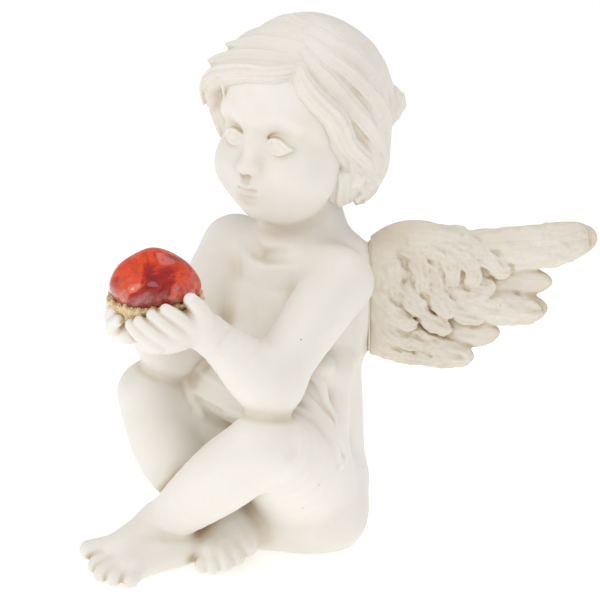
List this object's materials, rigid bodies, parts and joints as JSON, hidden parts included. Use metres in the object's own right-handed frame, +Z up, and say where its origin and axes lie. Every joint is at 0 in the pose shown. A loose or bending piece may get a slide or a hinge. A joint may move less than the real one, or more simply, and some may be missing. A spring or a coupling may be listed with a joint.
{
  "type": "resin angel figurine",
  "caption": "Seated winged cherub in cast resin, ankles crossed and elbows on the knees, holding up a tumbled stone in cupped hands; free-standing on a flat seat.",
  "frame": {"origin": "on the resting plane, under the middle of the seat", "axes": "+Z up to the crown of the head, -Y the way the figure faces, +X to its left"},
  "size_m": [0.0584, 0.0636, 0.0749],
  "materials": {
    "resin": "satin ivory cast resin with a thin tan wash in the hollows",
    "wing_resin": "satin ivory cast resin, tan wash between the feathers",
    "pin_steel": "plain drawn wire",
    "wing_glue": "set clear-cream adhesive",
    "stone": "tumble-polished orange-red carnelian with a cloudy grey-pink band",
    "glitter_glue": "golden granular adhesive"
  },
  "bodies": {
    "root": {"figure_casting": "resin", "left_wing": "wing_resin", "right_wing": "wing_resin", "left_wing_pin": "pin_steel", "right_wing_pin": "pin_steel", "left_wing_glue": "wing_glue", "right_wing_glue": "wing_glue", "gemstone": "stone", "gemstone_glue": "glitter_glue"}
  },
  "joints": []
}
